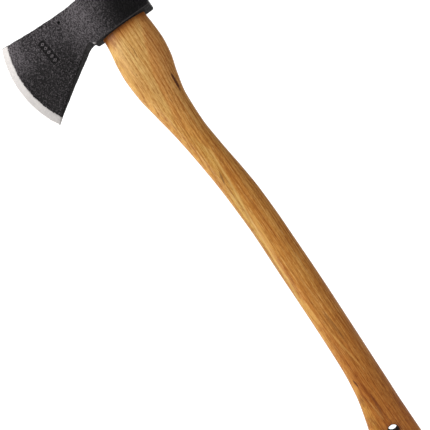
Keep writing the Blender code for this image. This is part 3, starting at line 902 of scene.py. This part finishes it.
def stamp_height(x, z):
    """Height of the sunk panel's surface: 0 outside it, down to -STAMP_DEPTH between its lozenges."""
    c, s = math.cos(math.radians(STAMP_LEAN)), math.sin(math.radians(STAMP_LEAN))
    across = np.abs((x - STAMP_X) * c + (z - STAMP_Z) * s)
    height = (z - STAMP_Z) * c - (x - STAMP_X) * s
    up = np.abs(height)
    inside = np.minimum(STAMP_HALF[0] - across, STAMP_HALF[1] - up)
    sunk = smooth_step(0.0, STAMP_DRAFT, inside)
    pitch = 2.0 * (STAMP_HALF[1] - LOZENGE_MARGIN) / LOZENGES
    along = height / pitch + LOZENGES / 2.0
    along = (along - np.floor(along) - 0.5) * pitch
    from_middle = across * LOZENGE_WIDEN + np.abs(along)
    raised = smooth_step(0.0, 0.42, LOZENGE_REACH - from_middle)
    raised = raised * (1.0 - smooth_step(0.0, 0.35, LOZENGE_HOLLOW - from_middle))
    inner_rail = smooth_step(0.42, 0.20, np.abs(inside - RAIL_INSET))
    keep = smooth_step(0.8, 1.2, inside)
    risen = LOZENGE_RISE * np.maximum(raised * keep, RAIL_RISE * inner_rail)
    return STAMP_DEPTH * sunk * (-1.0 + risen)


def weather_head(head):
    """Forged unevenness, crinkled coat, stamp and pit; the ground bevel stays true."""
    mesh = head.data
    points, normals = coordinates(mesh), vertex_normals(mesh)
    bevel = np.empty(len(points), np.float32)
    mesh.attributes["bevel"].data.foreach_get("value", bevel)
    coated = smooth_step(0.3, -0.3, bevel)
    front, back, half = handle_sizes(np.clip(points[:, 2], EYE_BOTTOM_Z, EYE_TOP_Z)).T
    centre, reach = (front + back) / 2.0, (back - front) / 2.0 + GAP
    radial = (np.abs((points[:, 0] - centre) / reach) ** SECTION_POWER
              + np.abs(points[:, 1] / (half + GAP)) ** SECTION_POWER) ** (1.0 / SECTION_POWER)
    clear = smooth_step(1.02, 1.12, radial)

    forged, crinkle = layered_noise(points, FORGED_LAYERS), layered_noise(points, CRINKLE_LAYERS)
    lift = coated * clear * (forged + crinkle - HEAD_INSET)

    cheek = normals[:, 1] < -0.7
    stamp = np.where(cheek, stamp_height(points[:, 0], points[:, 2]), 0.0)
    away = np.hypot(points[:, 0] - PIT_X, points[:, 2] - PIT_Z)
    pit = np.where(cheek, PIT_DEPTH * smooth_step(PIT_RADIUS, 0.3, away), 0.0)
    set_coordinates(mesh, points + normals * (lift + stamp - pit)[:, None])

    float_attribute(mesh, "sunk", -stamp / STAMP_DEPTH)
    corner = 1.0 - np.max(np.abs(normals), axis=1)
    float_attribute(mesh, "wear", np.clip(corner * 3.2, 0.0, 1.0) * coated)


def make_head():
    head = head_mesh()
    rings = []
    for z in (EYE_BOTTOM_Z - 6.0, EYE_BOTTOM_Z, EYE_TOP_Z, EYE_TOP_Z + 6.0):
        front, back, half = handle_sizes([max(z, EYE_BOTTOM_Z)])[0]
        rings.append(oval(z, front - GAP, back + GAP, half + GAP))
    carve(head, solid_from_rings("eye_cutter", rings))
    weather_head(head)
    place(head, head_material(), "axe_head")


# ---- handle -----------------------------------------------------------------------------------
def make_handle():
    turns = np.radians(np.linspace(0.0, 90.0, 9))
    low = [(BUTT_ROUND * (1.0 - math.cos(a)), BUTT_ROUND * (1.0 - math.sin(a))) for a in turns]
    top = TONGUE_TOP_Z - TONGUE_CHAMFER
    heights = [z for z, _ in low]
    heights += [*np.arange(BUTT_ROUND + 1.0, top, 1.0), top, TONGUE_TOP_Z]
    insets = [i for _, i in low] + [0.0] * (len(heights) - len(low) - 1) + [TONGUE_CHAMFER]
    rings = []
    for z, inset, (front, back, half) in zip(heights, insets, handle_sizes(heights)):
        rings.append(oval(z, front + inset, back - inset, half - inset))
    handle = solid_from_rings("hickory_handle", rings)
    carve(handle, lanyard_cutter())
    carve(handle, prism("kerf_cutter", KERF_SIDE, KERF_HALF_LENGTH, 0.0))
    carve(handle, prism("steel_cutter", POCKET_SIDE, POCKET_HALF_LENGTH, POCKET_TURN))

    mesh = handle.data
    points, normals = coordinates(mesh), vertex_normals(mesh)
    slow = points * np.array([1.0, 1.0, 0.25])
    lift = 0.10 * value_noise(slow, 9.0, 11) + 0.03 * value_noise(points * (1.0, 1.0, 0.1), 1.6, 12)
    outside = smooth_step(0.0, 6.0, points[:, 2])
    outside = outside * smooth_step(EYE_BOTTOM_Z, EYE_BOTTOM_Z - 6.0, points[:, 2])
    hole = smooth_step(LANYARD_RADIUS + 1.0, LANYARD_RADIUS + 4.0,
                       np.hypot(points[:, 0] - LANYARD_X, points[:, 2] - LANYARD_Z))
    set_coordinates(mesh, points + normals * ((lift - HANDLE_INSET) * outside * hole)[:, None])
    place(handle, hickory_material(), "handle")


def lanyard_cutter():
    """Round bar through the handle that widens at both ends, so that the hole's mouths are rounded."""
    half = handle_sizes([LANYARD_Z])[0][2]
    mouth = [(LANYARD_RADIUS + MOUTH_ROUND * (1.0 - math.cos(a)),
              half - MOUTH_ROUND * (1.0 - math.sin(a))) for a in np.radians(np.linspace(0.0, 90.0, 7))]
    mouth.append((LANYARD_RADIUS + MOUTH_ROUND + 1.6, half + 1.4))
    profile = mouth[::-1] + [(r, -y) for r, y in mouth]
    angle = math.tau * np.arange(HOLE_SIDES) / HOLE_SIDES
    c, s = np.cos(angle), np.sin(angle)
    rings = [np.stack([LANYARD_X + r * c, np.full(HOLE_SIDES, y), LANYARD_Z + r * s], 1)
             for r, y in profile]
    return solid_from_rings("lanyard_cutter", rings)


def prism(name, side, half_length, turn):
    """Solid along X whose outline is a side of (y, z) points and its mirror, turned about Z."""
    outline = np.array([*side, *((-y, z) for y, z in reversed(side))])
    rings = []
    for x in (-half_length, half_length):
        rings.append(np.column_stack([np.full(len(outline), x), outline]))
    c, s = math.cos(math.radians(turn)), math.sin(math.radians(turn))
    spin = np.array([[c, s, 0.0], [-s, c, 0.0], [0.0, 0.0, 1.0]])
    return solid_from_rings(name, [ring @ spin for ring in rings])


# ---- wedges -----------------------------------------------------------------------------------
def refined_copy(node, name, material, bevel_mm, layer):
    """Finer copy of a small CAD piece: broken edges, dense faces and one layer of unevenness."""
    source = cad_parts[node]
    piece = bpy.data.objects.new(name, source.data.copy())
    bpy.context.scene.collection.objects.link(piece)
    weld = piece.modifiers.new("weld", "WELD")
    weld.merge_threshold = 0.00002
    edges = piece.modifiers.new("edges", "BEVEL")
    edges.width = bevel_mm * MM
    edges.segments = 2
    edges.limit_method = "ANGLE"
    edges.angle_limit = math.radians(30.0)
    remesh = piece.modifiers.new("remesh", "REMESH")
    remesh.mode = "VOXEL"
    remesh.voxel_size = WEDGE_VOXEL * MM
    bake_modifiers(piece)
    mesh = piece.data
    points, normals = coordinates(mesh), vertex_normals(mesh)
    lift_mm, cell, seed = layer
    lift = lift_mm * (value_noise(points, cell, seed) - WEDGE_INSET)
    set_coordinates(mesh, points + normals * lift[:, None])
    mesh.shade_smooth()
    place(piece, material, node)


# ---- stage ------------------------------------------------------------------------------------
def make_stage():
    """White bowl: a flat floor that rises into a wall all the way round."""
    flat, rise, wall = 1500.0, 900.0, 3200.0
    profile = [(0.0, 0.0), (flat * 0.5, 0.0), (flat, 0.0)]
    profile += [(flat + rise * math.sin(a), rise * (1.0 - math.cos(a)))
                for a in np.radians(np.linspace(6.0, 90.0, 15))]
    profile.append((flat + rise, wall))
    sides = 96
    points, faces = [(0.0, 0.0, 0.0)], []
    for r, z in profile[1:]:
        for k in range(sides):
            a = math.tau * k / sides
            points.append((r * math.cos(a), r * math.sin(a), z))
    for k in range(sides):
        j = (k + 1) % sides
        faces.append((0, 1 + k, 1 + j))
        for row in range(len(profile) - 2):
            low, high = 1 + row * sides, 1 + (row + 1) * sides
            faces.append((low + k, high + k, high + j, low + j))
    floor = new_object("floor", points, faces)
    floor.data.materials.append(floor_material())


def floor_material():
    """White with a light of its own, stronger on the +Y side, so that it is plain white behind."""
    t = Tree("white_floor")
    aside = t.math("SUBTRACT", t.math("ABSOLUTE", t.x), t.times(t.y, 0.35))
    behind = t.times(t.between(t.y, -400.0, 60.0), t.between(aside, 350.0, 1500.0, 1.0, 0.0))
    glow = t.math("ADD", t.times(behind, 0.80), 0.20)
    return t.finish(Base_Color=(0.40, 0.40, 0.40), Roughness=0.9, Specular_IOR_Level=0.1,
                    Emission_Color=(1.0, 1.0, 1.0), Emission_Strength=glow)


def area_light(name, place_mm, aim_mm, size_mm, watts):
    data = bpy.data.lights.new(name, "AREA")
    data.shape = "RECTANGLE"
    data.size, data.size_y = (s * MM for s in size_mm)
    data.energy = watts
    obj = bpy.data.objects.new(name, data)
    bpy.context.scene.collection.objects.link(obj)
    obj.location = Vector(place_mm) * MM
    direction = (Vector(aim_mm) - Vector(place_mm)).normalized()
    obj.rotation_euler = direction.to_track_quat("-Z", "Y").to_euler()
    obj.visible_camera = False


def make_lights():
    """Large soft key from the -X side and front, a strip and a low card on that side, a weak fill."""
    aim = (-20.0, 0.0, 320.0)
    area_light("key", (-1000.0, -850.0, 1250.0), aim, (1200.0, 1200.0), 26.3)
    area_light("strip", (-1150.0, 420.0, 480.0), aim, (350.0, 900.0), 4.0)
    area_light("low_card", (-1150.0, -700.0, 230.0), (-20.0, 0.0, 230.0), (700.0, 400.0), 4.0)
    area_light("fill", (1100.0, -1100.0, 500.0), aim, (900.0, 900.0), 0.3)
    world = bpy.data.worlds.new("soft_white")
    bpy.context.scene.world = world
    world.use_nodes = True
    background = world.node_tree.nodes["Background"]
    background.inputs["Color"].default_value = (1.0, 1.0, 1.0, 1.0)
    background.inputs["Strength"].default_value = 0.13


def make_camera():
    """Level camera in front of the -Y side, rolled so that the handle runs down to the right."""
    azimuth, elevation, roll = (math.radians(a) for a in (5.6, 0.55, -34.15))
    target = Vector((-27.0, 0.0, 277.5)) * MM
    distance = 0.785
    back = Vector((math.sin(azimuth) * math.cos(elevation),
                   -math.cos(azimuth) * math.cos(elevation), math.sin(elevation)))
    data = bpy.data.cameras.new("camera")
    data.sensor_width = 36.0
    data.lens = 73.9
    camera = bpy.data.objects.new("camera", data)
    bpy.context.scene.collection.objects.link(camera)
    turn = (-back).to_track_quat("-Z", "Y").to_matrix().to_4x4()
    place_and_turn = Matrix.Translation(target + back * distance) @ turn
    camera.matrix_world = place_and_turn @ Matrix.Rotation(roll, 4, "Z")
    bpy.context.scene.camera = camera


bpy.context.scene.view_settings.view_transform = "Standard"
make_camera()
make_stage()
make_lights()
make_head()
make_handle()
refined_copy("eye_wedge", "wooden_eye_wedge", wedge_material(),
             0.3, EYE_WEDGE_LAYER)
refined_copy("steel_wedge", "steel_cross_wedge", wedge_steel_material(),
             0.25, STEEL_WEDGE_LAYER)
